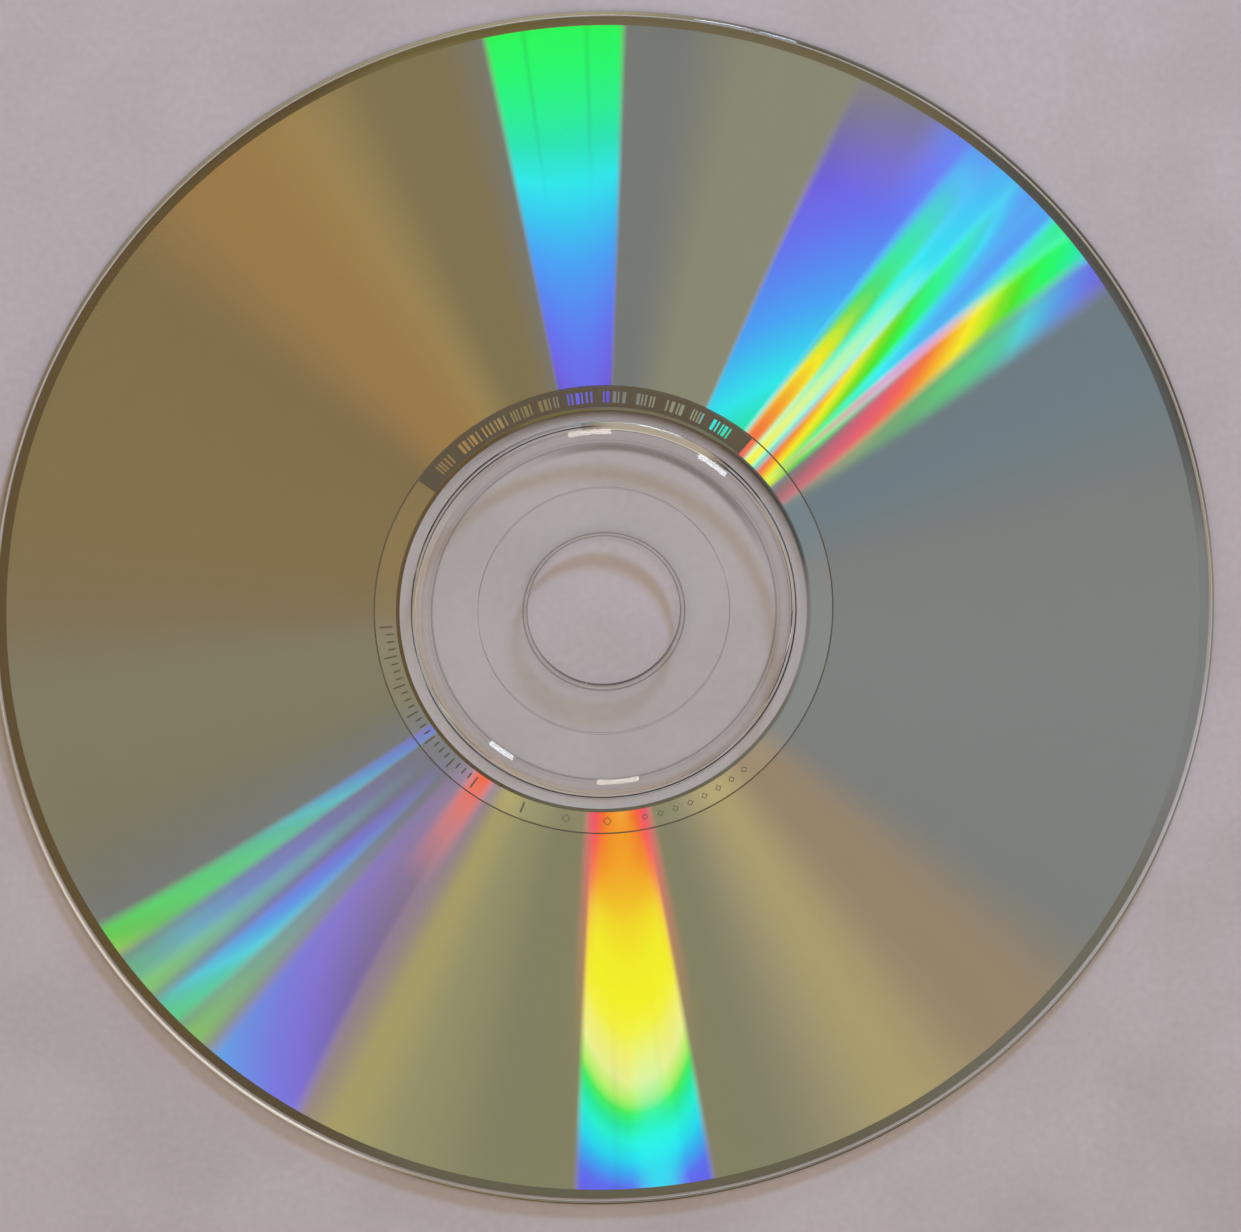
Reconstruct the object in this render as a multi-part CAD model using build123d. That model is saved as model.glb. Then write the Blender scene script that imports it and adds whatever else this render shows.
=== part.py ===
from build123d import *
import os

# A compact disc, lying on its label side with the read side up.
# The origin is at the bottom centre of the disc, on the face that it rests on, with +Z up.
# All sizes are in millimetres.

# The disc as a whole
disc_diameter = 120.0
disc_thickness = 1.2          # over the data area, with both films
hole_diameter = 15.0

# Moulded outer edge of the clear disc
read_edge_radius = 0.3        # rounding of the outer edge on the read side
label_edge_bevel = 0.12       # bevel of the outer edge on the label side

# Centre hole edges
read_bevel_width = 0.42       # the bevel that guides the disc on to a spindle
read_bevel_depth = 0.3
label_bevel = 0.08            # edge break left by the punch on the label side

# Recess that the mould's centre insert leaves around the hole, on both sides
insert_mark_diameter = 24.8
insert_mark_depth = 0.04
insert_mark_draft = 0.03      # how far the step leans out towards its mouth

# Raised stacking ring on the read side
stack_ring_diameter = 35.3    # to the middle of the ring
stack_ring_width = 1.5
stack_ring_height = 0.24
stack_ring_crown = 0.5        # flat width on top of the ring
stack_ring_root_fillet = 0.1
stack_ring_top_fillet = 0.12

# Groove that the stamper's inner holder leaves on the label side
holder_groove_diameter = 37.4  # to the middle of the groove
holder_groove_width = 0.5
holder_groove_depth = 0.16
holder_groove_floor = 0.22

# Mirror film: the recording stack and the metal, sputtered on the label side
mirror_inner_diameter = 40.8
mirror_outer_diameter = 117.2
mirror_thickness = 0.02

# Protective lacquer and print, cast over the mirror film and past its edges
coat_cover = 0.03             # coat below the mirror film
coat_inner_overlap = 0.36     # how far the coat seals past the film's inner edge
coat_outer_setback = 0.5      # bare plastic between the coat and the outer edge

# Heights and radii worked out from the sizes above
label_plane = coat_cover + mirror_thickness
read_plane = disc_thickness
disc_radius = disc_diameter / 2
hole_radius = hole_diameter / 2
mirror_inner_radius = mirror_inner_diameter / 2
mirror_outer_radius = mirror_outer_diameter / 2
coat_inner_radius = mirror_inner_radius - coat_inner_overlap
coat_outer_radius = disc_radius - coat_outer_setback
insert_mark_radius = insert_mark_diameter / 2
read_mark_floor = read_plane - insert_mark_depth
label_mark_floor = label_plane + insert_mark_depth


def revolved(points):
    """A ring whose half section is the closed outline through the points (radius, height)."""
    outline = Polyline(*[(radius, 0, height) for radius, height in points], close=True)
    return revolve(make_face(outline), Axis.Z)


def annulus(inner_radius, outer_radius, low, high):
    """A flat ring between two radii and two heights."""
    corners = [
        (inner_radius, low),
        (outer_radius, low),
        (outer_radius, high),
        (inner_radius, high),
    ]
    return revolved(corners)


def edges_at(solid, radius, height):
    """The circular edges of a solid at one radius and one height."""
    found = [
        edge
        for edge in solid.edges().filter_by(GeomType.CIRCLE)
        if abs(edge.radius - radius) < 1e-4 and abs(edge.center().Z - height) < 1e-4
    ]
    return ShapeList(found)


def moulded_blank():
    """The flat polycarbonate disc with its punched centre hole and rounded outer edge."""
    blank = annulus(hole_radius, disc_radius, label_plane, read_plane)
    blank = fillet(edges_at(blank, disc_radius, read_plane), read_edge_radius)
    return chamfer(edges_at(blank, disc_radius, label_plane), label_edge_bevel)


def insert_mark(face, floor):
    """The shallow drafted step around the hole, cut from a face of the disc to the step's floor."""
    return revolved(
        [
            (hole_radius, face),
            (insert_mark_radius, face),
            (insert_mark_radius - insert_mark_draft, floor),
            (hole_radius, floor),
        ]
    )


def stacking_ring():
    """The raised ring that keeps stacked discs apart, with sloped flanks and a soft crown."""
    middle = stack_ring_diameter / 2
    foot = stack_ring_width / 2
    crown = stack_ring_crown / 2
    top = read_plane + stack_ring_height
    root = (read_plane + label_plane) / 2
    return revolved(
        [
            (middle - foot, root),
            (middle + foot, root),
            (middle + foot, read_plane),
            (middle + crown, top),
            (middle - crown, top),
            (middle - foot, read_plane),
        ]
    )


def holder_groove():
    """The tapered groove on the label side, wider at its mouth than at its floor."""
    middle = holder_groove_diameter / 2
    mouth = holder_groove_width / 2
    floor = holder_groove_floor / 2
    return revolved(
        [
            (middle - mouth, label_plane),
            (middle + mouth, label_plane),
            (middle + floor, label_plane + holder_groove_depth),
            (middle - floor, label_plane + holder_groove_depth),
        ]
    )


def hole_bevels():
    """The cuts that bevel the centre hole at the read side and break its edge at the label side."""
    read_bevel = revolved(
        [
            (hole_radius, read_mark_floor - read_bevel_depth),
            (hole_radius + read_bevel_width, read_mark_floor),
            (hole_radius, read_mark_floor),
        ]
    )
    label_break = revolved(
        [
            (hole_radius, label_mark_floor),
            (hole_radius + label_bevel, label_mark_floor),
            (hole_radius, label_mark_floor + label_bevel),
        ]
    )
    return read_bevel, label_break


def clear_substrate():
    """The injection-moulded polycarbonate disc, one clear piece."""
    disc = moulded_blank() + stacking_ring()
    middle = stack_ring_diameter / 2
    top = read_plane + stack_ring_height
    for side in (-1, 1):
        crown_edge = edges_at(disc, middle + side * stack_ring_crown / 2, top)
        disc = fillet(crown_edge, stack_ring_top_fillet)
        root_edge = edges_at(disc, middle + side * stack_ring_width / 2, read_plane)
        disc = fillet(root_edge, stack_ring_root_fillet)
    read_mark = insert_mark(read_plane, read_mark_floor)
    label_mark = insert_mark(label_plane, label_mark_floor)
    for cut in (read_mark, label_mark, holder_groove(), *hole_bevels()):
        disc = disc - cut
    return disc


def mirror_film():
    """The reflecting film, bonded to the label side of the clear disc."""
    return annulus(mirror_inner_radius, mirror_outer_radius, coat_cover, label_plane)


def label_coat():
    """The lacquer and print, which cover the mirror film and seal both of its edges."""
    return annulus(coat_inner_radius, coat_outer_radius, 0, label_plane) - mirror_film()


parts = {
    "clear_substrate": clear_substrate(),
    "mirror_film": mirror_film(),
    "label_coat": label_coat(),
}

os.makedirs("parts", exist_ok=True)
for name, shape in parts.items():
    export_step(shape, f"parts/{name}.step")
    size = shape.bounding_box().size
    print(name, round(shape.volume, 2), size)
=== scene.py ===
# A rewritable compact disc that lies read side up on a pale floor.
# Sizes in the dictionaries are millimetres and degrees; meshes are made in metres.
# An azimuth is counted from +X towards +Y, seen from above.

import math
import random

import bpy
from mathutils import Matrix, Vector


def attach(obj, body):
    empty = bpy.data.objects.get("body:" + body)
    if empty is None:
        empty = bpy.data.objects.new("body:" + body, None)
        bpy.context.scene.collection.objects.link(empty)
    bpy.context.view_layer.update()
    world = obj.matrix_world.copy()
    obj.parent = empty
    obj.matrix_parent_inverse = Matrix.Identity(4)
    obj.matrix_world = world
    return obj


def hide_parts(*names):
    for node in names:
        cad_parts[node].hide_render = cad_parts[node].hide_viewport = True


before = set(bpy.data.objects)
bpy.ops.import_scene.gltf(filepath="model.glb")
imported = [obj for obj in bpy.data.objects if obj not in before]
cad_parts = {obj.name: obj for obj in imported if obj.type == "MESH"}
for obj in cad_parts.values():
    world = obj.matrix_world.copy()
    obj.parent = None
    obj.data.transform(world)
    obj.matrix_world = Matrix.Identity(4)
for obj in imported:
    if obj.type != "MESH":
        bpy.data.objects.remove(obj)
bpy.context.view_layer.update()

mm = 0.001
around = 360                  # faces round a full turn
widest = 3.0                  # of one face along the radius
print("frame loaded:", sorted(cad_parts))


# Small helpers for meshes and node trees

def roundedOutline(corners, steps=6):
    # corners are (radius, height, rounding); a rounded corner becomes an arc
    points = []
    for i, (r, z, rounding) in enumerate(corners):
        here = Vector((r, z))
        if not rounding:
            points.append((r, z))
            continue
        before = (Vector(corners[i - 1][:2]) - here).normalized()
        after = (Vector(corners[(i + 1) % len(corners)][:2]) - here).normalized()
        opening = before.angle(after)
        reach = rounding / math.tan(opening / 2)
        centre = here + (before + after).normalized() * (rounding / math.sin(opening / 2))
        first = here + before * reach - centre
        last = here + after * reach - centre
        swing = first.angle_signed(last)
        for k in range(steps + 1):
            turn = -swing * k / steps
            c, s = math.cos(turn), math.sin(turn)
            points.append((
                centre.x + first.x * c - first.y * s,
                centre.y + first.x * s + first.y * c,
            ))
    return points


def divided(outline):
    # long steps of the outline get points between, so that no face is a long sliver
    points = []
    for i, (r, z) in enumerate(outline):
        after = outline[(i + 1) % len(outline)]
        parts = max(1, math.ceil(math.hypot(after[0] - r, after[1] - z) / widest))
        for k in range(parts):
            points.append((r + (after[0] - r) * k / parts, z + (after[1] - z) * k / parts))
    return points


def turnedPiece(name, outline, sharp=32):
    # a closed outline (radius, height) in millimetres, turned round Z
    outline = divided(outline)
    count = len(outline)
    verts, faces = [], []
    for k in range(around):
        a = 2 * math.pi * k / around
        for r, z in outline:
            verts.append((r * math.cos(a) * mm, r * math.sin(a) * mm, z * mm))
    for k in range(around):
        near, far = k * count, ((k + 1) % around) * count
        for i in range(count):
            j = (i + 1) % count
            faces.append((near + i, far + i, far + j, near + j))
    return meshPiece(name, verts, faces, sharp)


def meshPiece(name, verts, faces, sharp=32):
    mesh = bpy.data.meshes.new(name)
    mesh.from_pydata(verts, [], faces)
    mesh.validate()
    mesh.shade_smooth()
    mesh.set_sharp_from_angle(angle=math.radians(sharp))
    piece = bpy.data.objects.new(name, mesh)
    bpy.context.collection.objects.link(piece)
    return piece


def addPlate(verts, faces, points, low, high):
    # a thin flat plate over the (x, y) points, both in millimetres
    start, count = len(verts), len(points)
    verts += [(x * mm, y * mm, low * mm) for x, y in points]
    verts += [(x * mm, y * mm, high * mm) for x, y in points]
    faces.append(tuple(start + count + i for i in range(count)))
    faces.append(tuple(start + i for i in reversed(range(count))))
    for i in range(count):
        j = (i + 1) % count
        faces.append((start + i, start + j, start + count + j, start + count + i))


def arcCell(fromAzimuth, toAzimuth, inner, outer):
    # the outline of a patch between two azimuths and two radii
    steps = max(1, round((toAzimuth - fromAzimuth) / 0.5))
    turns = [math.radians(fromAzimuth + (toAzimuth - fromAzimuth) * k / steps) for k in range(steps + 1)]
    outside = [(outer * math.cos(a), outer * math.sin(a)) for a in turns]
    inside = [(inner * math.cos(a), inner * math.sin(a)) for a in reversed(turns)]
    return outside + inside


def shown(colour):
    # a colour as it is seen on a screen, 0 to 255, turned into light
    light = []
    for part in colour:
        c = part / 255
        light.append(c / 12.92 if c <= 0.04045 else ((c + 0.055) / 1.055) ** 2.4)
    return tuple(light)


def calculator(tree):
    # returns a function that adds one math node and gives back its output
    def calc(operation, *inputs):
        node = tree.nodes.new("ShaderNodeMath")
        node.operation = operation
        for socket, value in zip(node.inputs, inputs):
            feed(tree, socket, value)
        return node.outputs[0]
    return calc


def feed(tree, socket, value):
    if isinstance(value, bpy.types.NodeSocket):
        tree.links.new(value, socket)
    else:
        socket.default_value = value


def ramped(tree, value, stops, interpolation="LINEAR"):
    node = tree.nodes.new("ShaderNodeValToRGB")
    node.color_ramp.interpolation = interpolation
    marks = node.color_ramp.elements
    while len(marks) < len(stops):
        marks.new(0.5)
    for mark, (place, colour) in zip(marks, stops):
        mark.position = place
        mark.color = (*colour, 1)
    feed(tree, node.inputs[0], value)
    return node.outputs[0]


def smoothed(tree, value, low, high, start=0.0, end=1.0):
    node = tree.nodes.new("ShaderNodeMapRange")
    node.interpolation_type = "SMOOTHSTEP"
    span = {"Value": value, "From Min": low, "From Max": high, "To Min": start, "To Max": end}
    for name, number in span.items():
        feed(tree, node.inputs[name], number)
    return node.outputs["Result"]


def mixed(tree, amount, first, second):
    node = tree.nodes.new("ShaderNodeMix")
    node.data_type = "RGBA"
    for name, value in (("Factor_Float", amount), ("A_Color", first), ("B_Color", second)):
        socket = next(s for s in node.inputs if s.identifier == name)
        feed(tree, socket, value if isinstance(value, (float, bpy.types.NodeSocket)) else (*value, 1))
    return next(s for s in node.outputs if s.identifier == "Result_Color")


def vectorOf(tree, operation, *inputs):
    node = tree.nodes.new("ShaderNodeVectorMath")
    node.operation = operation
    sockets = [node.inputs[0], node.inputs["Scale"]] if operation == "SCALE" else node.inputs
    for socket, value in zip(sockets, inputs):
        feed(tree, socket, value)
    return node.outputs[0]


def newMaterial(name):
    material = bpy.data.materials.new(name)
    material.use_nodes = True
    tree = material.node_tree
    shader = tree.nodes["Principled BSDF"]
    return material, tree, shader


def separated(tree, vector):
    node = tree.nodes.new("ShaderNodeSeparateXYZ")
    tree.links.new(vector, node.inputs[0])
    return node.outputs


def discPlace(tree):
    # azimuth in degrees and radius in millimetres of the point that is shaded
    calc = calculator(tree)
    spot = tree.nodes.new("ShaderNodeTexCoord").outputs["Object"]
    x, y, z = separated(tree, spot)
    azimuth = calc("FLOORED_MODULO", calc("DEGREES", calc("ARCTAN2", y, x)), 360.0)
    squares = calc("ADD", calc("MULTIPLY", x, x), calc("MULTIPLY", y, y))
    radius = calc("DIVIDE", calc("SQRT", squares), mm)
    return spot, azimuth, radius


def around360(tree, azimuth, plan):
    # 1 within an arc of azimuths, fading to 0 at its sides
    middle, half, faded = plan
    calc = calculator(tree)
    distance = calc("ABSOLUTE", calc("SUBTRACT", azimuth, float(middle)))
    if faded > min(middle, 360 - middle):
        # the arc runs on past the azimuth 0
        distance = calc("MINIMUM", distance, calc("SUBTRACT", 360.0, distance))
    return smoothed(tree, distance, float(half), float(faded), 1.0, 0.0)


def tintedRound(tree, azimuth, plain, tints):
    # one colour all round, with other colours over arcs of it
    colour = shown(plain)
    for middle, half, faded, tint in tints.values():
        colour = mixed(tree, around360(tree, azimuth, (middle, half, faded)), colour, shown(tint))
    return colour


def ringPatch(tree, azimuth, radius, plan, strength=1.0):
    # the strength within a patch of a ring, fading to 0 at its radii and its azimuths
    calc = calculator(tree)
    start, full, fades, ends = plan["radii"]
    inwards = smoothed(tree, radius, start, full)
    amount = calc("MULTIPLY", inwards, smoothed(tree, radius, fades, ends, strength, 0.0))
    return calc("MULTIPLY", amount, around360(tree, azimuth, plan["azimuths"]))


# Camera: the photograph's angle, leaning towards the upper edge of the picture

view = {
    "lean": 13.2,             # from straight above
    "leanAzimuth": 101.7,
    "distance": 3000,
    "width": 121.8,           # what the picture's width takes in at the disc
    "aim": (1.68, -0.70),     # the picture's middle, measured from the disc's axis
    "sensor": 36,
    "clip": (50, 20000),
}


def makeCamera():
    lean, azimuth = math.radians(view["lean"]), math.radians(view["leanAzimuth"])
    back = Vector((
        math.sin(lean) * math.cos(azimuth),
        math.sin(lean) * math.sin(azimuth),
        math.cos(lean),
    ))
    right = Vector((0, 1, 0)).cross(back).normalized()
    up = back.cross(right)
    data = bpy.data.cameras.new("camera")
    data.sensor_width = view["sensor"]
    data.lens = view["sensor"] * view["distance"] / view["width"]
    camera = bpy.data.objects.new("camera", data)
    bpy.context.collection.objects.link(camera)
    aim = (right * view["aim"][0] + up * view["aim"][1]) * mm
    camera.location = aim + back * view["distance"] * mm
    camera.rotation_mode = "QUATERNION"
    # right, up and back are the camera's own axes, so the picture's right edge keeps to +X
    camera.rotation_quaternion = Matrix((right, up, back)).transposed().to_quaternion()
    data.clip_start, data.clip_end = view["clip"][0] * mm, view["clip"][1] * mm
    bpy.context.scene.camera = camera


makeCamera()
print("camera made")


# Floor and light

floorLook = {
    "colour": (167, 156, 157),
    "mottle": (161, 150, 150),
    "cloud": 60,              # noise scale of the mottle, and the noise where it starts and is full
    "clouded": (0.35, 0.7),
    "fibre": 1300,            # noise scale of the grain, and how uneven it is
    "unevenness": 0.16,
    "roughness": 0.9,
    "shine": 0.2,
    "size": 6000,
    "below": 0.01,
}
lamps = {
    "skyWindow": {
        "azimuth": 71, "height": 16, "distance": 1200, "size": (240, 90),
        "colour": (0.50, 0.69, 1.0), "power": 26.8,
    },
    "warmWindow": {
        "azimuth": 91.8, "height": 53.6, "distance": 1200, "size": (230, 110),
        "colour": (1.0, 0.93, 0.82), "power": 1.6,
    },
    "coolWindow": {
        "azimuth": 39.6, "height": 48.8, "distance": 1300, "size": (190, 90),
        "colour": (0.86, 0.93, 1.0), "power": 1.6,
    },
}
# the room is bright overhead and dim and warm at its sides; low and high are heights of that change
roomLight = {"above": (1.14, 1.14, 1.14), "side": (0.50, 0.37, 0.18), "low": 0.66, "high": 0.92}


def makeFloor():
    half = floorLook["size"] / 2 * mm
    z = -floorLook["below"] * mm
    verts = [(-half, -half, z), (half, -half, z), (half, half, z), (-half, half, z)]
    floor = meshPiece("floor", verts, [(0, 1, 2, 3)])
    material, tree, shader = newMaterial("paleFloor")
    spot = tree.nodes.new("ShaderNodeTexCoord").outputs["Object"]
    cloud = tree.nodes.new("ShaderNodeTexNoise")
    cloud.inputs["Scale"].default_value = floorLook["cloud"]
    cloud.inputs["Detail"].default_value = 2
    tree.links.new(spot, cloud.inputs["Vector"])
    clouded = smoothed(tree, cloud.outputs["Fac"], *floorLook["clouded"])
    colour = mixed(tree, clouded, shown(floorLook["colour"]), shown(floorLook["mottle"]))
    fibre = tree.nodes.new("ShaderNodeTexNoise")
    fibre.inputs["Scale"].default_value = floorLook["fibre"]
    tree.links.new(spot, fibre.inputs["Vector"])
    uneven = floorLook["unevenness"]
    grain = calculator(tree)("MULTIPLY_ADD", fibre.outputs["Fac"], uneven, 1 - uneven / 2)
    colour = vectorOf(tree, "SCALE", colour, grain)
    tree.links.new(colour, shader.inputs["Base Color"])
    shader.inputs["Roughness"].default_value = floorLook["roughness"]
    shader.inputs["Specular IOR Level"].default_value = floorLook["shine"]
    floor.data.materials.append(material)


def makeLamp(name, plan):
    azimuth, height = math.radians(plan["azimuth"]), math.radians(plan["height"])
    out = Vector((
        math.cos(height) * math.cos(azimuth),
        math.cos(height) * math.sin(azimuth),
        math.sin(height),
    ))
    data = bpy.data.lights.new(name, "AREA")
    data.shape = "RECTANGLE"
    data.size, data.size_y = plan["size"][0] * mm, plan["size"][1] * mm
    data.color = plan["colour"]
    data.energy = plan["power"]
    lamp = bpy.data.objects.new(name, data)
    bpy.context.collection.objects.link(lamp)
    lamp.location = out * plan["distance"] * mm
    lamp.rotation_mode = "QUATERNION"
    lamp.rotation_quaternion = out.to_track_quat("Z", "Y")


def makeRoom():
    world = bpy.data.worlds.new("room")
    bpy.context.scene.world = world
    world.use_nodes = True
    tree = world.node_tree
    background = tree.nodes["Background"]
    spot = tree.nodes.new("ShaderNodeTexCoord").outputs["Generated"]
    rise = smoothed(tree, separated(tree, spot)["Z"], roomLight["low"], roomLight["high"])
    tree.links.new(mixed(tree, rise, roomLight["side"], roomLight["above"]), background.inputs["Color"])
    background.inputs["Strength"].default_value = 1.0


makeFloor()
for lampName, lampPlan in lamps.items():
    makeLamp(lampName, lampPlan)
makeRoom()
bpy.context.scene.view_settings.view_transform = "Standard"
bpy.context.scene.cycles.max_bounces = 3            # into the plastic, off the film and out again
bpy.context.scene.cycles.use_light_tree = False     # three lamps need no tree
print("floor and light made")


# The clear disc: one moulding, with its stacking ring, groove, steps and bevels

clearDisc = {
    "radius": 60.0,
    "readPlane": 1.2,
    "labelPlane": 0.05,
    "hole": 7.5,
    "readEdge": 0.3,          # rounding of the outer edge
    "labelEdge": 0.12,        # bevel of the outer edge
    "bevel": (0.42, 0.3),     # hole bevel: width, depth
    "labelBreak": 0.08,
    "step": 12.4,             # radius of the step round the hole
    "stepDepth": 0.04,
    "stepDraft": 0.03,
    "ring": 17.65,            # stacking ring: middle, foot width, crown width, height
    "ringFoot": 1.5,
    "ringCrown": 0.5,
    "ringHeight": 0.24,
    "groove": 18.7,           # groove on the label side
    "grooveMouth": 0.5,
    "grooveFloor": 0.22,
    "grooveDepth": 0.16,
    "tint": (0.962, 0.972, 0.955),
    "refraction": 1.585,
    "shine": 0.35,            # of the reflection of bare plastic
    "faceShade": (0.96, 0.96, 0.94),     # light that a lamp keeps through a flat face
    "wallShade": (0.26, 0.18, 0.08),     # and through a steep wall or the ring's outer slope
    "readSide": (0.6, 0.9),   # heights between which the label side turns into the read side
    "even": (20.3, 59.0),     # radii between which nothing in the plastic changes
}
# Where a wall holds a lamp's light back: how upright it is, its width, and heights at the hole and the rim
wallShades = {
    "upright": (0.80, 0.995),            # upward part of the surface's direction: full and none
    "width": 1.0,
    "hole": (0.50, 0.66),
    "rim": (0.40, 0.56),
    "lowerSide": (251, 60, 110),         # azimuths at the hole that hold back only a share
    "lowerShare": 0.45,
}
ringShade = {"radius": 18.15, "half": 0.22, "faded": 0.45, "share": 0.85}

# Painted shade: dark lines along the moulding's edges on the read side, where the plastic bends the view into
# shade: radius, half width, light that passes
paintedEdgeShade = {
    "holeWall": (7.52, 0.17, 0.30),
    "bevelTop": (7.94, 0.13, 0.26),
    "step": (12.38, 0.08, 0.68),
    "ringInside": (16.92, 0.20, 0.40),
    "ringOutside": (18.26, 0.13, 0.62),
    "groove": (18.90, 0.12, 0.50),
}

# Painted shadows in the plastic: brown shade that the mirror's edge and the stacking ring cast, strongest at
# the upper right. Radii: start, full, fading, end.
# Azimuths: middle, half width, where it has faded.
paintedShadows = {
    "atMirror": {"radii": (18.7, 20.05, 20.24, 20.26), "azimuths": (72, 28, 92), "shade": (0.14, 0.10, 0.06)},
    "inRing": {"radii": (15.9, 16.45, 16.75, 16.9), "azimuths": (68, 22, 58), "shade": (0.28, 0.24, 0.20)},
}

# Slightly frosted places of the moulding, with radii and azimuths as above; at the ring's lower left and over
# the groove the frosting paints light
leastFrost = 0.001
frostAndPaintedLight = {
    "ringCrest": {
        "radii": (17.15, 17.45, 18.05, 18.25), "strength": 0.06,
        "colour": (232, 228, 224), "azimuths": (0, 360, 361),
    },
    # painted light: the ring's outer side lit at the lower left
    "ringPaintedLight": {
        "radii": (17.95, 18.05, 18.55, 18.70), "strength": 0.22,
        "colour": (226, 216, 204), "azimuths": (215, 55, 95),
    },
    # painted reflection: the window's cream patch over the groove, whose frosting also hides a lamp's glint
    # there
    "paintedGrooveReflection": {
        "radii": (18.22, 18.34, 19.00, 19.12), "strength": 0.90,
        "colour": (164, 150, 130), "azimuths": (73, 13, 24),
    },
}
# The rim's edge: a frosted band painted tan as its shade, with painted light over arcs of it
rimFrostAndPaintedLight = {
    "starts": 59.70,
    "full": 59.82,
    "strength": 0.92,
    "colour": (128, 113, 84),
}
# Light and shade painted on the rim's edge by azimuth, brightest at the lower left where light comes through
# it: middle, half width, where it has faded, colour
rimPaintedLight = {
    "dim": (46, 26, 46, (70, 60, 44)),
    "low": (285, 14, 30, (88, 80, 58)),
    "pale": (336, 18, 38, (120, 116, 106)),
    "glow": (196, 10, 34, (178, 167, 144)),
    "lit": (223, 15, 31, (250, 247, 240)),
}


def makeClearDisc():
    d = clearDisc
    top, base = d["readPlane"], d["labelPlane"]
    topFloor, baseFloor = top - d["stepDepth"], base + d["stepDepth"]
    width, depth = d["bevel"]
    mouth, floor = d["grooveMouth"] / 2, d["grooveFloor"] / 2
    foot, crown = d["ringFoot"] / 2, d["ringCrown"] / 2
    inner, outer, crest = d["ring"] - foot, d["ring"] + foot, top + d["ringHeight"]
    corners = [
        (d["hole"] + d["labelBreak"], baseFloor, 0),
        (d["step"] - d["stepDraft"], baseFloor, 0.02),
        (d["step"], base, 0.02),
        (d["groove"] - mouth, base, 0.03),
        (d["groove"] - floor, base + d["grooveDepth"], 0.03),
        (d["groove"] + floor, base + d["grooveDepth"], 0.03),
        (d["groove"] + mouth, base, 0.03),
        (d["radius"] - d["labelEdge"], base, 0.03),
        (d["radius"], base + d["labelEdge"], 0.03),
        (d["radius"], top, d["readEdge"]),
        (outer, top, 0.1),
        (d["ring"] + crown, crest, 0.12),
        (d["ring"] - crown, crest, 0.12),
        (inner, top, 0.1),
        (d["step"], top, 0.02),
        (d["step"] - d["stepDraft"], topFloor, 0.02),
        (d["hole"] + width, topFloor, 0.04),
        (d["hole"], topFloor - depth, 0.04),
        (d["hole"], baseFloor + d["labelBreak"], 0.02),
    ]
    piece = turnedPiece("clearDisc", roundedOutline(corners), 40)
    piece.data.materials.append(clearPlastic("clearPlastic"))
    piece.data.materials.append(clearPlastic("evenPlastic", even=True))
    spots = piece.data.vertices
    for face in piece.data.polygons:
        radii = [spots[i].co.xy.length / mm for i in face.vertices]
        face.material_index = int(min(radii) > d["even"][0] and max(radii) < d["even"][1])
    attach(piece, "root")
    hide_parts("clear_substrate")


def paintedShadeInPlastic(tree, azimuth, radius, readSide):
    # painted shade: what the dark lines at the moulding's edges and the painted shadows leave of the light
    # seen through them
    calc = calculator(tree)
    passed = 1.0
    for at, width, kept in paintedEdgeShade.values():
        distance = calc("ABSOLUTE", calc("SUBTRACT", radius, at))
        passed = calc("MULTIPLY", passed, smoothed(tree, distance, 0.0, width, kept, 1.0))
    passed = calc("SUBTRACT", 1.0, calc("MULTIPLY", readSide, calc("SUBTRACT", 1.0, passed)))
    colour = vectorOf(tree, "SCALE", clearDisc["tint"], passed)
    for plan in paintedShadows.values():
        amount = calc("MULTIPLY", readSide, ringPatch(tree, azimuth, radius, plan))
        colour = vectorOf(tree, "MULTIPLY", colour, mixed(tree, amount, (1.0, 1.0, 1.0), plan["shade"]))
    return colour


def frostedAndPaintedLight(tree, azimuth, radius, readSide, colour):
    # the colour with the frosting's own, with the light painted on the ring, the groove and the rim's edge,
    # and how cloudy the plastic is there
    calc = calculator(tree)
    cloudy = 0.0
    for plan in frostAndPaintedLight.values():
        amount = calc("MULTIPLY", readSide, ringPatch(tree, azimuth, radius, plan, plan["strength"]))
        colour = mixed(tree, calc("GREATER_THAN", amount, leastFrost), colour, shown(plan["colour"]))
        cloudy = calc("ADD", cloudy, amount)
    rim = smoothed(tree, radius, rimFrostAndPaintedLight["starts"], rimFrostAndPaintedLight["full"])
    colour = mixed(tree, rim, colour, tintedRound(tree, azimuth, rimFrostAndPaintedLight["colour"], rimPaintedLight))
    return colour, calc("ADD", cloudy, calc("MULTIPLY", rim, rimFrostAndPaintedLight["strength"]))


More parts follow.
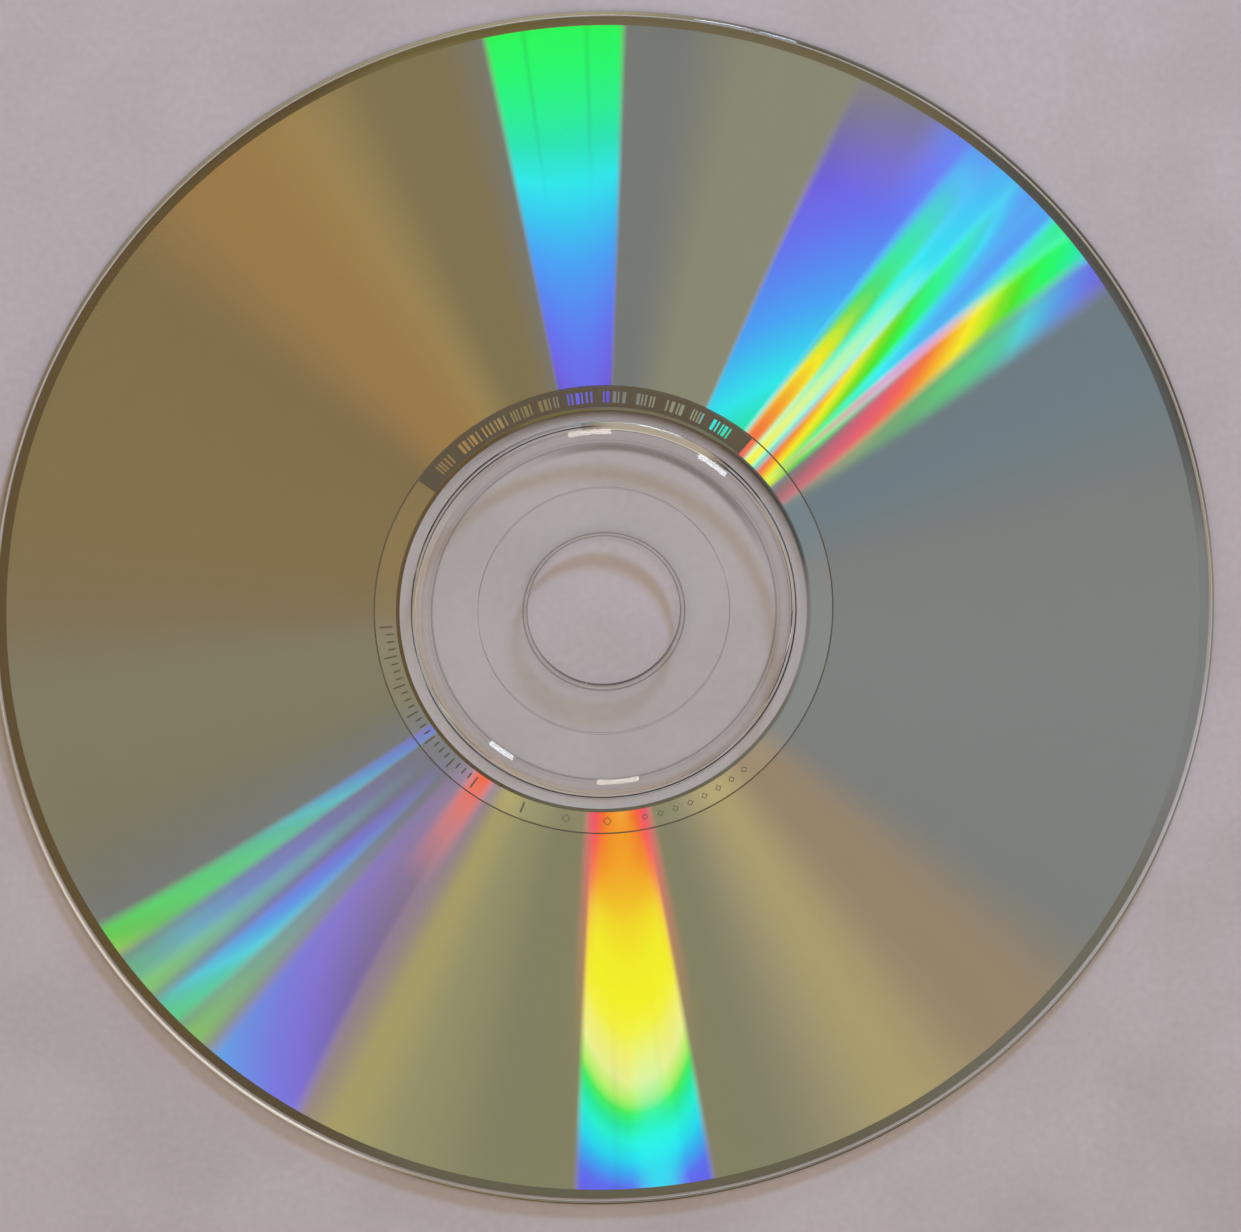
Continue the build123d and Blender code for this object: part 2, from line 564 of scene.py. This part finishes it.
def lampShade(tree, azimuth, radius, height, readSide):
    # how much of a lamp's light the walls and the ring's outer slope hold back
    calc = calculator(tree)
    normal = tree.nodes.new("ShaderNodeNewGeometry").outputs["Normal"]
    upward = calc("ABSOLUTE", separated(tree, normal)["Z"])
    steep = smoothed(tree, upward, *wallShades["upright"], 1.0, 0.0)
    atHole = calc("LESS_THAN", radius, clearDisc["hole"] + wallShades["width"])
    atHole = calc("MULTIPLY", atHole, smoothed(tree, height, *wallShades["hole"]))
    lower = around360(tree, azimuth, wallShades["lowerSide"])
    atHole = calc("MULTIPLY", atHole, smoothed(tree, lower, 0.0, 1.0, 1.0, wallShades["lowerShare"]))
    atRim = calc("GREATER_THAN", radius, clearDisc["radius"] - wallShades["width"])
    atRim = calc("MULTIPLY", atRim, smoothed(tree, height, *wallShades["rim"], 1.0, 0.0))
    walls = calc("MULTIPLY", steep, calc("ADD", atHole, atRim))
    fromRing = calc("ABSOLUTE", calc("SUBTRACT", radius, ringShade["radius"]))
    slope = smoothed(tree, fromRing, ringShade["half"], ringShade["faded"], ringShade["share"], 0.0)
    held = calc("ADD", walls, calc("MULTIPLY", slope, readSide))
    held.node.use_clamp = True
    return mixed(tree, held, clearDisc["faceShade"], clearDisc["wallShade"])


def clearPlastic(name, even=False):
    # with even, it is the same all over and renders faster
    material, tree, shader = newMaterial(name)
    shader.inputs["IOR"].default_value = clearDisc["refraction"]
    shader.inputs["Roughness"].default_value = 0.0
    shine = clearDisc["shine"]
    shader.inputs["Specular Tint"].default_value = (shine, shine, shine, 1)
    passing = tree.nodes.new("ShaderNodeBsdfTransparent")
    if even:
        shader.inputs["Base Color"].default_value = (*clearDisc["tint"], 1)
        shader.inputs["Transmission Weight"].default_value = 1.0
        passing.inputs["Color"].default_value = (*clearDisc["faceShade"], 1)
    else:
        calc = calculator(tree)
        spot, azimuth, radius = discPlace(tree)
        height = calc("DIVIDE", separated(tree, spot)["Z"], mm)
        readSide = smoothed(tree, height, *clearDisc["readSide"])
        colour = paintedShadeInPlastic(tree, azimuth, radius, readSide)
        colour, cloudy = frostedAndPaintedLight(tree, azimuth, radius, readSide, colour)
        tree.links.new(colour, shader.inputs["Base Color"])
        tree.links.new(calc("SUBTRACT", 1.0, cloudy), shader.inputs["Transmission Weight"])
        tree.links.new(lampShade(tree, azimuth, radius, height, readSide), passing.inputs["Color"])

    # the light of lamps and of the room passes without bending, so that no glare is left on the floor
    path = tree.nodes.new("ShaderNodeLightPath")
    surface = shader.outputs[0]
    for ray in ("Is Diffuse Ray", "Is Shadow Ray"):
        both = tree.nodes.new("ShaderNodeMixShader")
        tree.links.new(path.outputs[ray], both.inputs[0])
        tree.links.new(surface, both.inputs[1])
        tree.links.new(passing.outputs[0], both.inputs[2])
        surface = both.outputs[0]
    tree.links.new(surface, tree.nodes["Material Output"].inputs["Surface"])
    return material


makeClearDisc()
print("clear disc made")


# The mirror film and the colours that its tracks throw

film = {
    "inner": 20.4,
    "outer": 58.6,
    "low": 0.03,
    "high": 0.058,            # just inside the clear disc, as it is bonded to it
    "trackStart": 22.55,
    "grey": (119, 121, 118),
    "metal": 0.9,
    "roughness": 0.34,
    "brushed": 0.6,
    "grain": 2600,            # noise scale of the speckle, and how strong it is
    "speckle": 0.05,
    "bandShine": 1.15,        # of the plain band inside the tracks
    "bandFade": 0.1,
    # azimuths where the sectors of the film start; each has a material with the tints and streaks it needs
    "sectors": {
        "rightFan": 28, "upperRight": 66, "topFan": 87, "leftSide": 103,
        "leftFan": 211, "lowerLeft": 241, "lowFan": 264, "rightSide": 284,
    },
}

# Soft tints painted on the film as the room's light reflected in it: middle azimuth, half width, where it has
# faded, colour
roomTints = {
    "blueGrey": (27, 2, 19, (107, 122, 131)),
    "oliveGrey": (69, 5, 15, (140, 139, 116)),
    "umber": (156, 12, 56, (124, 103, 62)),
    "bronze": (111, 4, 12, (128, 113, 73)),
    "gold": (124, 2, 12, (158, 132, 74)),
    "amber": (131, 1, 13, (153, 118, 62)),
    "olive": (196, 5, 17, (126, 120, 94)),
    "straw": (246, 1, 14, (178, 165, 104)),
    "hay": (252, 1, 10, (160, 158, 112)),
    "khaki": (272, 8, 32, (134, 131, 98)),
    "wheat": (303, 2, 18, (173, 159, 110)),
    "rose": (314, 1, 13, (150, 130, 103)),
    "lilac": (234, 3, 9, (152, 131, 152)),
}


# Each streak is one lamp's light, split by the tracks. middle (degrees), wave (nanometres), drop and power
# are given at the rim, halfway and at the tracks' inner edge, half (degrees) at the rim and at that edge.
# tilt is the change of wavelength for each degree across the streak, drop the nanometres that its sides
# lose, and soft the share of its width that fades.
streaks = {
    "topFan": dict(middle=(94.8, 94.7, 94.7), half=(6.65, 6.7), soft=0.08,
                   wave=(525, 474, 435), drop=(0, 4, 12)),
    "lowFan": dict(middle=(274, 274, 274.1), half=(6.6, 7.0), soft=0.08,
                   wave=(450, 569, 612), drop=(15, 30, -25), bright=True),
    "lowFanCyan": dict(middle=(275.6, 275.4, 275), half=(1.7, 1.5), soft=0.8,
                       wave=(478, 490, 490), power=(0.9, 0, 0)),
    "lowFanRedLeft": dict(middle=(267.3, 267.2, 267.1), half=(0.8, 1.5), soft=0.9,
                          wave=(560, 600, 628), power=(0, 0.1, 0.8)),
    "lowFanRedRight": dict(middle=(280.9, 281.0, 281.1), half=(0.8, 1.5), soft=0.9,
                           wave=(560, 600, 628), power=(0, 0.1, 0.8)),
    "rightBlue": dict(middle=(47, 47, 47), half=(8.5, 7.0), soft=0.3,
                      wave=(456, 466, 480), tilt=-1.2, power=(0.85, 0.9, 0.8)),
    "rightSheet": dict(middle=(58.4, 58.6, 57.8), half=(6.2, 5.6), soft=0.14,
                       wave=(418, 449, 484), tilt=-1.6, power=(0.3, 1.25, 1)),
    "rightEdge": dict(middle=(34.8, 33.4, 31.8), half=(1.7, 1.8), soft=0.8,
                      wave=(436, 520, 590), tilt=6, power=(0.9, 0.45, 0.1)),
    "rightPale": dict(middle=(42.4, 40.6, 38.3), half=(1.1, 1.2), soft=0.7,
                      wave=(456, 464, 552), power=(0.7, 0.8, 0.95)),
    "rightCore": dict(middle=(37.8, 37.3, 33.8), half=(1.5, 2.2), soft=0.55,
                      wave=(496, 596, 655), tilt=9, power=(1, 1, 0.75)),
    "rightPink": dict(middle=(38.8, 39.6, 38.6), half=(0.5, 0.7), soft=0.9,
                      wave=(699, 699, 699), power=(-1.2, 0.6, 0.3)),
    "rightGreenEdge": dict(middle=(40.3, 39.6, 39), half=(1.0, 0.9), soft=0.8,
                           wave=(515, 540, 560), power=(0.85, 0, 0)),
    "rightSecond": dict(middle=(45.6, 44.2, 41.3), half=(1.2, 2.1), soft=0.55,
                        wave=(465, 536, 590), tilt=14, power=(0.3, 1, 1)),
    "rightWhite": dict(middle=(47.7, 47.4, 46.2), half=(1.3, 1.3), soft=0.7,
                       wave=(466, 484, 486), power=(0.6, 1, 0.9)),
    "rightCream": dict(middle=(47.2, 47.0, 46.0), half=(0.6, 1.3), soft=0.8,
                       wave=(530, 532, 552), power=(-0.6, 0.3, 1), bright=True),
    "rightThird": dict(middle=(50.6, 50.3, 49.6), half=(1.3, 2.1), soft=0.6,
                       wave=(468, 545, 610), drop=(0, 16, 20), power=(0.2, 0.9, 1)),
    "leftMauve": dict(middle=(221, 222, 222), half=(5.0, 6.5), soft=0.6,
                      wave=(470, 432, 412), power=(0.08, 0.34, 0.16)),
    "leftFirst": dict(middle=(214.0, 214.8, 215.1), half=(1.6, 1.4), soft=0.5,
                      wave=(546, 498, 445), tilt=8, power=(0.66, 0.5, 0.55)),
    "leftGap": dict(middle=(217.8, 218.3, 218.5), half=(1.4, 1.8), soft=0.8,
                    wave=(505, 450, 425), power=(0.28, 0.2, 0)),
    "leftOlive": dict(middle=(219.9, 220.2, 220.5), half=(1.0, 1.0), soft=0.9,
                      wave=(552, 534, 470), power=(0.5, 0.24, 0)),
    "leftSecond": dict(middle=(223.0, 223.8, 224.2), half=(1.5, 1.4), soft=0.5,
                       wave=(500, 455, 425), tilt=9, power=(0.5, 0.66, 0.1)),
    "leftMoss": dict(middle=(226.5, 226.2, 226), half=(1.4, 1.5), soft=0.8,
                     wave=(552, 545, 540), power=(0.5, 0.16, 0)),
    "leftViolet": dict(middle=(234, 232.8, 231.5), half=(5.1, 3.9), soft=0.2,
                       wave=(447, 421, 408), tilt=-3.2, power=(0.8, 0.6, 0.1)),
    "leftRed": dict(middle=(234.4, 234.9, 234.8), half=(2.4, 2.7), soft=0.6,
                    wave=(600, 606, 612), power=(0, -0.28, 0.8)),
}
# Dim lines where the window's bars stand: degrees from the middle, width, shade, and the depths of their ends
paneLines = {"topFan": (3.05, 0.45, 0.12, 0.25, 0.55), "lowFan": (2.7, 0.8, 0.06, 0.3, 0.6)}

# What the eye sees of each wavelength, in nanometres, and the same where the light is too strong for it
spectrum = (
    (400, (70, 60, 90)), (415, (92, 76, 175)), (430, (112, 98, 236)), (440, (102, 114, 247)),
    (450, (84, 140, 252)), (460, (66, 166, 255)), (470, (44, 204, 251)), (480, (26, 238, 246)),
    (490, (18, 234, 190)), (500, (8, 246, 150)), (512, (0, 254, 112)), (525, (18, 255, 84)),
    (540, (70, 235, 20)), (552, (130, 232, 0)), (563, (205, 242, 10)), (575, (255, 240, 10)),
    (585, (255, 208, 20)), (595, (255, 165, 30)), (606, (255, 122, 50)), (618, (250, 95, 90)),
    (630, (240, 84, 110)), (645, (215, 88, 112)), (660, (175, 92, 100)), (680, (130, 100, 95)),
    (694, (255, 118, 190)),
)
brightSpectrum = (
    (400, (90, 80, 160)), (435, (104, 92, 248)), (450, (90, 112, 253)), (462, (45, 172, 255)),
    (474, (0, 225, 252)), (488, (0, 250, 225)), (500, (0, 244, 160)), (509, (60, 248, 90)),
    (518, (185, 250, 110)), (530, (242, 250, 150)), (545, (250, 250, 118)), (558, (254, 252, 50)),
    (572, (255, 251, 0)), (586, (254, 248, 0)), (598, (253, 228, 0)), (606, (253, 190, 0)),
    (612, (253, 160, 0)), (625, (253, 108, 30)), (640, (252, 66, 24)), (655, (250, 32, 0)),
)
spectrumSpan = (400, 700)


def curveThrough(rim, halfway, hub):
    # a + b t + c t t, through its values at t = 0, 0.5 and 1
    return rim, -3 * rim + 4 * halfway - hub, 2 * rim - 4 * halfway + 2 * hub


def makeStreakGroup(name, colours):
    curves = ("middle", "wave", "drop", "power")
    names = ["azimuth", "depth", "halfRim", "halfGain", "softStart", "softEnd", "tilt"]
    names += [curve + part for curve in curves for part in "ABC"]
    tree = bpy.data.node_groups.new(name, "ShaderNodeTree")
    tree.interface.new_socket("under", in_out="INPUT", socket_type="NodeSocketColor")
    for key in names:
        tree.interface.new_socket(key, in_out="INPUT", socket_type="NodeSocketFloat")
    tree.interface.new_socket("light", in_out="OUTPUT", socket_type="NodeSocketColor")
    given = tree.nodes.new("NodeGroupInput").outputs
    calc = calculator(tree)

    def curve(key):
        # in single steps, so that Cycles can drop those with a 0
        rise = calc("ADD", calc("MULTIPLY", given["depth"], given[key + "C"]), given[key + "B"])
        return calc("ADD", calc("MULTIPLY", given["depth"], rise), given[key + "A"])

    offset = calc("SUBTRACT", given["azimuth"], curve("middle"))
    half = calc("MULTIPLY_ADD", given["depth"], given["halfGain"], given["halfRim"])
    across = calc("ABSOLUTE", calc("DIVIDE", offset, half))
    edge = smoothed(tree, across, given["softStart"], given["softEnd"], 1.0, 0.0)
    sides = calc("MULTIPLY", calc("MULTIPLY", across, across), curve("drop"))
    wave = calc("ADD", calc("MULTIPLY", given["tilt"], offset), curve("wave"))
    wave = calc("SUBTRACT", wave, sides)
    start, end = spectrumSpan
    place = calc("DIVIDE", calc("SUBTRACT", wave, float(start)), float(end - start))
    stops = [((nanometres - start) / (end - start), shown(seen)) for nanometres, seen in colours]
    colour = ramped(tree, place, stops)
    power = calc("MAXIMUM", curve("power"), 0.0)
    cover = calc("MULTIPLY", edge, power)
    cover.node.use_clamp = True
    # where two streaks meet, both add up; in its middle a streak hides what is under it
    kept = calc("SUBTRACT", 1.0, calc("MULTIPLY", cover, calc("SQRT", cover)))
    below = vectorOf(tree, "SCALE", given["under"], kept)
    out = tree.nodes.new("NodeGroupOutput")
    light = vectorOf(tree, "ADD", below, vectorOf(tree, "SCALE", colour, cover))
    tree.links.new(light, out.inputs["light"])
    return tree


def streakValues(plan):
    rim, hub = plan["half"]
    values = {
        "halfRim": rim, "halfGain": hub - rim, "tilt": plan.get("tilt", 0),
        "softStart": 1 - plan["soft"], "softEnd": 1 + plan["soft"],
    }
    for key, usual in (("middle", None), ("wave", None), ("drop", (0, 0, 0)), ("power", (1, 1, 1))):
        for part, number in zip("ABC", curveThrough(*plan.get(key, usual))):
            values[key + part] = number
    return values


def paneShade(tree, azimuth, depth, middle, line):
    # what a pair of dim lines, one on each side of the middle, leaves of the light
    calc = calculator(tree)
    outwards, width, dimming, nearEnd, farEnd = line
    aside = calc("ABSOLUTE", calc("SUBTRACT", azimuth, float(middle)))
    gap = calc("ABSOLUTE", calc("SUBTRACT", aside, outwards))
    reach = smoothed(tree, depth, nearEnd, farEnd, dimming, 0.0)
    return calc("SUBTRACT", 1.0, smoothed(tree, gap, 0.0, width, reach, 0.0))


def streakReach(plan):
    # the lowest and the highest azimuth that a streak touches
    rim, hub = plan["half"]
    a, b, c = curveThrough(*plan["middle"])
    sides = []
    for k in range(23):
        depth = k / 20            # on to a little past the tracks' inner edge
        middle = a + b * depth + c * depth * depth
        half = (rim + (hub - rim) * depth) * (1 + plan["soft"])
        sides += [middle - half, middle + half]
    return min(sides), max(sides)


def overlap(low, high, first, last):
    # whether two arcs of azimuths meet, also past 360
    return any(low < last + turn and high > first + turn for turn in (-360, 0, 360))


def filmMaterial(name, groups, first, last):
    # the material of one sector, from its first to its last azimuth
    material, tree, shader = newMaterial(name)
    calc = calculator(tree)
    tints = {
        key: tint for key, tint in roomTints.items()
        if overlap(tint[0] - tint[2], tint[0] + tint[2], first, last)
    }
    ownStreaks = {key: plan for key, plan in streaks.items() if overlap(*streakReach(plan), first, last)}
    spot, azimuth, radius = discPlace(tree)
    hubSide, rimSide = film["trackStart"], film["outer"]
    depth = calc("DIVIDE", calc("SUBTRACT", rimSide, radius), rimSide - hubSide)
    colour = tintedRound(tree, azimuth, film["grey"], tints)
    grain = tree.nodes.new("ShaderNodeTexNoise")
    grain.inputs["Scale"].default_value = film["grain"]
    grain.inputs["Detail"].default_value = 1.0
    tree.links.new(spot, grain.inputs["Vector"])
    speckle = calc("MULTIPLY_ADD", grain.outputs["Fac"], 2 * film["speckle"], 1 - film["speckle"])
    band = smoothed(tree, radius, hubSide - film["bandFade"], hubSide, film["bandShine"], 1.0)
    light = vectorOf(tree, "SCALE", colour, calc("MULTIPLY", band, speckle))
    for name, plan in ownStreaks.items():
        node = tree.nodes.new("ShaderNodeGroup")
        node.node_tree = groups[plan.get("bright", False)]
        node.name = name
        for key, number in streakValues(plan).items():
            node.inputs[key].default_value = number
        tree.links.new(azimuth, node.inputs["azimuth"])
        tree.links.new(depth, node.inputs["depth"])
        tree.links.new(light, node.inputs["under"])
        light = node.outputs["light"]
        if name in paneLines:
            kept = paneShade(tree, azimuth, depth, plan["middle"][1], paneLines[name])
            light = vectorOf(tree, "SCALE", light, kept)
    light = vectorOf(tree, "MINIMUM", light, (1.0, 1.0, 1.0))
    tree.links.new(light, shader.inputs["Base Color"])
    shader.inputs["Metallic"].default_value = film["metal"]
    shader.inputs["Roughness"].default_value = film["roughness"]
    shader.inputs["Anisotropic"].default_value = film["brushed"]
    tangent = tree.nodes.new("ShaderNodeTangent")
    tangent.direction_type = "RADIAL"
    tangent.axis = "Z"
    tree.links.new(tangent.outputs[0], shader.inputs["Tangent"])
    return material


def makeFilm():
    outline = [
        (film["inner"], film["low"]),
        (film["outer"], film["low"]),
        (film["outer"], film["high"]),
        (film["inner"], film["high"]),
    ]
    piece = turnedPiece("mirrorFilm", outline)
    groups = {
        False: makeStreakGroup("trackStreak", spectrum),
        True: makeStreakGroup("brightStreak", brightSpectrum),
    }
    starts = list(film["sectors"].values())
    ends = starts[1:] + [starts[0] + 360]
    for name, first, last in zip(film["sectors"], starts, ends):
        piece.data.materials.append(filmMaterial(name + "Film", groups, first, last))
    for face in piece.data.polygons:
        azimuth = math.degrees(math.atan2(face.center.y, face.center.x)) % 360
        passed = sum(azimuth > start for start in starts)
        face.material_index = (passed - 1) % len(starts)
    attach(piece, "root")
    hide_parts("mirror_film")


makeFilm()
print("mirror film made with", len(streaks), "streaks")


# The label coat: dark where it is seen through the clear disc, plain silver underneath

coat = {
    "inner": 20.04,
    "outer": 59.5,
    "low": 0.0,
    "high": 0.054,
    "seen": (83, 63, 20),
    "label": (186, 187, 190),
    "roughness": 0.38,
    "shine": 0.1,
    "gloss": 0.8,             # of the varnish on the label side, and its roughness
    "glossRoughness": 0.15,
    "upward": (0.4, 0.6),     # upward part of the direction where the label side turns into the seen one
    "edge": 0.012,
}

# Light and shade painted on the coat where it is seen beside the film: middle azimuth, half width, where it
# has faded, colour
coatPaintedLight = {
    "slate": (30, 18, 32, (72, 72, 70)),
    "sand": (75, 14, 30, (105, 96, 70)),
    "ochre": (105, 4, 16, (102, 91, 42)),
    "dusk": (240, 6, 18, (76, 60, 30)),
    "clay": (278, 24, 40, (90, 83, 62)),
    "ash": (322, 12, 28, (98, 93, 79)),
    "mist": (354, 10, 24, (112, 112, 110)),
}


def coatMaterial():
    material, tree, shader = newMaterial("labelCoat")
    azimuth = discPlace(tree)[1]
    normal = tree.nodes.new("ShaderNodeNewGeometry").outputs["Normal"]
    upward = smoothed(tree, separated(tree, normal)["Z"], *coat["upward"])
    seen = tintedRound(tree, azimuth, coat["seen"], coatPaintedLight)
    colour = mixed(tree, upward, shown(coat["label"]), seen)
    tree.links.new(colour, shader.inputs["Base Color"])
    shader.inputs["Roughness"].default_value = coat["roughness"]
    shader.inputs["Specular IOR Level"].default_value = coat["shine"]
    gloss = smoothed(tree, upward, 0.0, 1.0, coat["gloss"], 0.0)
    tree.links.new(gloss, shader.inputs["Coat Weight"])
    shader.inputs["Coat Roughness"].default_value = coat["glossRoughness"]
    return material


def makeCoat():
    corners = [
        (coat["inner"], coat["low"], coat["edge"]),
        (coat["outer"], coat["low"], coat["edge"]),
        (coat["outer"], coat["high"], 0),
        (film["outer"], coat["high"], 0),
        (film["outer"], film["low"], 0),
        (film["inner"], film["low"], 0),
        (film["inner"], coat["high"], 0),
        (coat["inner"], coat["high"], 0),
    ]
    piece = turnedPiece("labelCoat", roundedOutline(corners, 3))
    piece.data.materials.append(coatMaterial())
    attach(piece, "root")
    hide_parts("label_coat")


makeCoat()
print("label coat made")


# Marks in the plain band: a dark strip with bright bars, strokes, small diamonds and the track edge

marks = {
    "low": 0.066,
    "high": 0.070,
    "dark": (84, 68, 42),
    "thin": (88, 78, 52),
    "solid": {"strip": 0.86, "edge": 0.6, "thin": 0.8},       # how much each hides of the film
    "roughness": 0.45,
    "metal": 0.3,
    "trackEdge": (22.46, 22.60),
}
barPlan = {
    "strip": (49.5, 144),           # azimuths of the dark strip, and of the bars in it
    "bars": (55, 137),
    "stripRadii": (20.42, 22.45),
    "barRadii": (20.85, 21.98),
    "inGroup": (4, 5, 6),
    "widths": (0.45, 0.45, 0.9),    # in degrees, as the gaps are
    "gaps": (0.4, 0.5, 0.8),
    "groupGaps": (1.0, 1.6, 2.4),
    "seed": 7,
}
strokePlan = {
    "row": (184, 233.5),            # azimuths of the first and last stroke
    "steps": 24,
    "tallEach": 4,
    "radii": (20.8, 22.05),         # of a tall stroke
    "short": 0.55,                  # length of the others, as a share
    "half": 0.22,                   # half the width, in degrees
    "single": {"azimuth": 248, "half": 0.25, "outer": 21.9},
}
diamondPlan = {
    "radius": 21.3,
    "small": [281 + 4.2 * k for k in range(8)],
    "large": [260, 271],
    "sizes": {"small": 0.33, "large": 0.45},
    "line": 0.098,                  # width of the line, measured at a tip
}


def markMaterial(name, colour, solid):
    material, tree, shader = newMaterial(name)
    shader.inputs["Base Color"].default_value = (*shown(colour), 1)
    shader.inputs["Roughness"].default_value = marks["roughness"]
    shader.inputs["Metallic"].default_value = marks["metal"]
    shader.inputs["Alpha"].default_value = solid
    return material


def addCell(verts, faces, fromAzimuth, toAzimuth, inner, outer):
    cell = arcCell(fromAzimuth, toAzimuth, inner, outer)
    addPlate(verts, faces, cell, marks["low"], marks["high"])


def finishMark(name, verts, faces, material):
    piece = meshPiece(name, verts, faces)
    piece.data.materials.append(material)
    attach(piece, "root")


def makeBarStrip(material):
    # the dark strip is left open at each bar, so that the film shows there
    chance = random.Random(barPlan["seed"])
    verts, faces = [], []
    first, last = barPlan["strip"]
    inner, outer = barPlan["stripRadii"]
    barInner, barOuter = barPlan["barRadii"]
    addCell(verts, faces, first, last, inner, barInner)
    addCell(verts, faces, first, last, barOuter, outer)
    place = first
    opening, lastBar = barPlan["bars"]
    while opening < lastBar:
        for k in range(chance.choice(barPlan["inGroup"])):
            width = chance.choice(barPlan["widths"])
            addCell(verts, faces, place, opening, barInner, barOuter)
            place = opening + width
            opening = place + chance.choice(barPlan["gaps"])
        opening += chance.choice(barPlan["groupGaps"])
    addCell(verts, faces, place, last, barInner, barOuter)
    finishMark("barStrip", verts, faces, material)


def makeStrokeRow(material):
    # a plain scale: tall and short strokes, with no letters
    verts, faces = [], []
    inner, outer = strokePlan["radii"]
    first, last = strokePlan["row"]
    steps, half = strokePlan["steps"], strokePlan["half"]
    for k in range(steps + 1):
        at = first + (last - first) * k / steps
        tall = outer if k % strokePlan["tallEach"] == 0 else inner + (outer - inner) * strokePlan["short"]
        addCell(verts, faces, at - half, at + half, inner, tall)
    single = strokePlan["single"]
    at, half = single["azimuth"], single["half"]
    addCell(verts, faces, at - half, at + half, inner, single["outer"])
    finishMark("strokeRow", verts, faces, material)


def makeDiamonds(material):
    # each diamond is four thin plates, one along each side
    verts, faces = [], []
    for kind, size in diamondPlan["sizes"].items():
        inside = size - diamondPlan["line"]
        for at in diamondPlan[kind]:
            a = math.radians(at)
            outward = Vector((math.cos(a), math.sin(a)))
            along = Vector((-math.sin(a), math.cos(a)))
            centre = outward * diamondPlan["radius"]
            tips = [along, outward, -along, -outward]
            for k in range(4):
                here, after = tips[k], tips[(k + 1) % 4]
                inner = [centre + here * inside, centre + after * inside]
                outer = [centre + after * size, centre + here * size]
                addPlate(verts, faces, [tuple(p) for p in inner + outer], marks["low"], marks["high"])
    finishMark("diamondRow", verts, faces, material)


def makeTrackEdge(material):
    inner, outer = marks["trackEdge"]
    outline = [(inner, marks["low"]), (outer, marks["low"]), (outer, marks["high"]), (inner, marks["high"])]
    piece = turnedPiece("trackEdge", outline)
    piece.data.materials.append(material)
    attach(piece, "root")


darkMark = markMaterial("darkStripMark", marks["dark"], marks["solid"]["strip"])
faintMark = markMaterial("trackEdgeMark", marks["dark"], marks["solid"]["edge"])
thinMark = markMaterial("thinMark", marks["thin"], marks["solid"]["thin"])
makeBarStrip(darkMark)
makeStrokeRow(thinMark)
makeDiamonds(thinMark)
makeTrackEdge(faintMark)
print("marks made")
